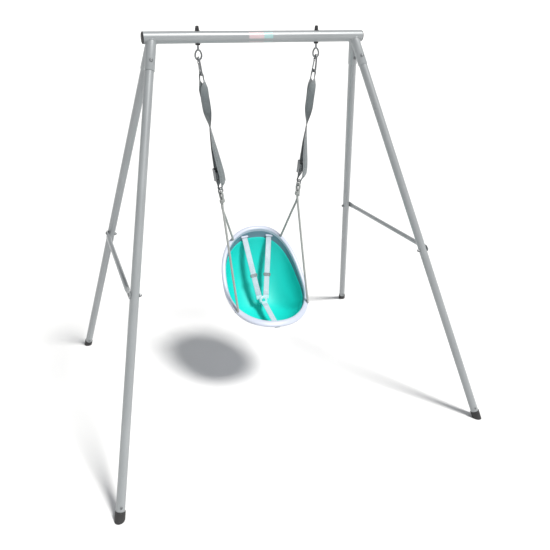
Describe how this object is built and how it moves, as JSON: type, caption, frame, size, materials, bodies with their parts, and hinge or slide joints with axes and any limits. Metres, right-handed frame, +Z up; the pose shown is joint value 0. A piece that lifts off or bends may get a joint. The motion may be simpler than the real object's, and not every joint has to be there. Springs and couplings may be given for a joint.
{
  "type": "toddler swing set",
  "caption": "Free-standing A-frame swing with webbing hangers, cam buckles, ropes and one bucket seat with a harness.",
  "frame": {"origin": "on the ground under the middle of the crossbar", "axes": "+X along the crossbar to the right, -Y to the front, where the seat faces, +Z up"},
  "size_m": [1.8446, 1.5344, 1.846],
  "materials": {
    "silver_paint": "satin metallic silver",
    "black_plastic": "matte",
    "zinc_steel": "dull zinc plate",
    "grey_webbing": "woven polyester webbing",
    "grey_rope": "braided rope",
    "white_plastic": "satin moulded",
    "teal_plastic": "satin moulded",
    "pale_webbing": "woven polyester webbing",
    "grey_plastic": "satin",
    "label_film": "plain printed film"
  },
  "bodies": {
    "frame": {"crossbar": "silver_paint", "crossbar_cap_left": "black_plastic", "crossbar_cap_right": "black_plastic", "crossbar_label": "label_film", "leg_socket_front_left": "silver_paint", "leg_front_left": "silver_paint", "foot_cap_front_left": "black_plastic", "socket_bolt_front_left": "zinc_steel", "foot_bolt_front_left": "zinc_steel", "brace_bolt_front_left": "zinc_steel", "leg_socket_rear_left": "silver_paint", "leg_rear_left": "silver_paint", "foot_cap_rear_left": "black_plastic", "socket_bolt_rear_left": "zinc_steel", "foot_bolt_rear_left": "zinc_steel", "brace_bolt_rear_left": "zinc_steel", "brace_left": "silver_paint", "leg_socket_front_right": "silver_paint", "leg_front_right": "silver_paint", "foot_cap_front_right": "black_plastic", "socket_bolt_front_right": "zinc_steel", "foot_bolt_front_right": "zinc_steel", "brace_bolt_front_right": "zinc_steel", "leg_socket_rear_right": "silver_paint", "leg_rear_right": "silver_paint", "foot_cap_rear_right": "black_plastic", "socket_bolt_rear_right": "zinc_steel", "foot_bolt_rear_right": "zinc_steel", "brace_bolt_rear_right": "zinc_steel", "brace_right": "silver_paint", "eye_bolt_left": "zinc_steel", "eye_bolt_nut_left": "black_plastic", "eye_bush_left": "black_plastic", "eye_bolt_right": "zinc_steel", "eye_bolt_nut_right": "black_plastic", "eye_bush_right": "black_plastic"},
    "hanger_left": {"hook_body_left": "zinc_steel", "strap_left": "grey_webbing", "cam_buckle_left": "zinc_steel"},
    "hanger_right": {"hook_body_right": "zinc_steel", "strap_right": "grey_webbing", "cam_buckle_right": "zinc_steel"},
    "gate_left": {"hook_gate_left": "zinc_steel"},
    "gate_right": {"hook_gate_right": "zinc_steel"},
    "lever_left": {"cam_lever_left": "grey_plastic"},
    "lever_right": {"cam_lever_right": "grey_plastic"},
    "seat": {"seat_shell": "white_plastic", "seat_liner": "teal_plastic", "rope_left": "grey_rope", "rope_right": "grey_rope", "ring_left": "zinc_steel", "ring_right": "zinc_steel", "shoulder_strap_left": "pale_webbing", "shoulder_strap_right": "pale_webbing", "crotch_strap": "pale_webbing", "harness_buckle": "grey_plastic"},
    "adjuster_left": {"strap_adjuster_left": "grey_plastic"},
    "adjuster_right": {"strap_adjuster_right": "grey_plastic"},
    "button": {"harness_button": "teal_plastic"}
  },
  "joints": [
    {"name": "swing_left", "type": "hinge", "parent": "frame", "child": "hanger_left", "pos_m": [-0.28, 0, 1.71], "axis": [1, 0, 0], "range_deg": [-40, 40]},
    {"name": "swing_right", "type": "hinge", "parent": "frame", "child": "hanger_right", "pos_m": [0.28, 0, 1.71], "axis": [1, 0, 0], "range_deg": [-40, 40]},
    {"name": "seat_tilt", "type": "hinge", "parent": "hanger_left", "child": "seat", "pos_m": [0, 0, 1.13288], "axis": [1, 0, 0], "range_deg": [-15, 15]},
    {"name": "gate_left", "type": "hinge", "parent": "hanger_left", "child": "gate_left", "pos_m": [-0.27912, 0.0099, 1.70306], "axis": [0.9921, 0, 0.1257], "range_deg": [-20, 0], "stiffness_Nm_per_rad": 0.3, "springref_deg": 17.19},
    {"name": "gate_right", "type": "hinge", "parent": "hanger_right", "child": "gate_right", "pos_m": [0.27912, 0.0099, 1.70306], "axis": [0.9921, 0, -0.1257], "range_deg": [-20, 0], "stiffness_Nm_per_rad": 0.3, "springref_deg": 17.19},
    {"name": "lever_left", "type": "hinge", "parent": "hanger_left", "child": "lever_left", "pos_m": [-0.21306, -0.00606, 1.20944], "axis": [0.8592, 0.5, 0.1088], "range_deg": [0, 15], "stiffness_Nm_per_rad": 0.3, "springref_deg": -17.19},
    {"name": "lever_right", "type": "hinge", "parent": "hanger_right", "child": "lever_right", "pos_m": [0.22, -0.00606, 1.20856], "axis": [0.8592, 0.5, -0.1088], "range_deg": [0, 15], "stiffness_Nm_per_rad": 0.3, "springref_deg": -17.19},
    {"name": "adjuster_slide_left", "type": "slide", "parent": "seat", "child": "adjuster_left", "axis": [-0.0875, 0.43, 0.8986], "range_m": [-0.02, 0.02]},
    {"name": "adjuster_slide_right", "type": "slide", "parent": "seat", "child": "adjuster_right", "axis": [0.2233, 0.4362, 0.8717], "range_m": [-0.02, 0.02]},
    {"name": "button_press", "type": "slide", "parent": "seat", "child": "button", "axis": [-0.0557, 0.8971, -0.4384], "range_m": [0, 0.003], "stiffness_N_per_m": 300, "springref_m": -0.003}
  ],
  "couplings": [
    {"joint": "swing_right", "follows": "swing_left", "ratio": 1}
  ]
}
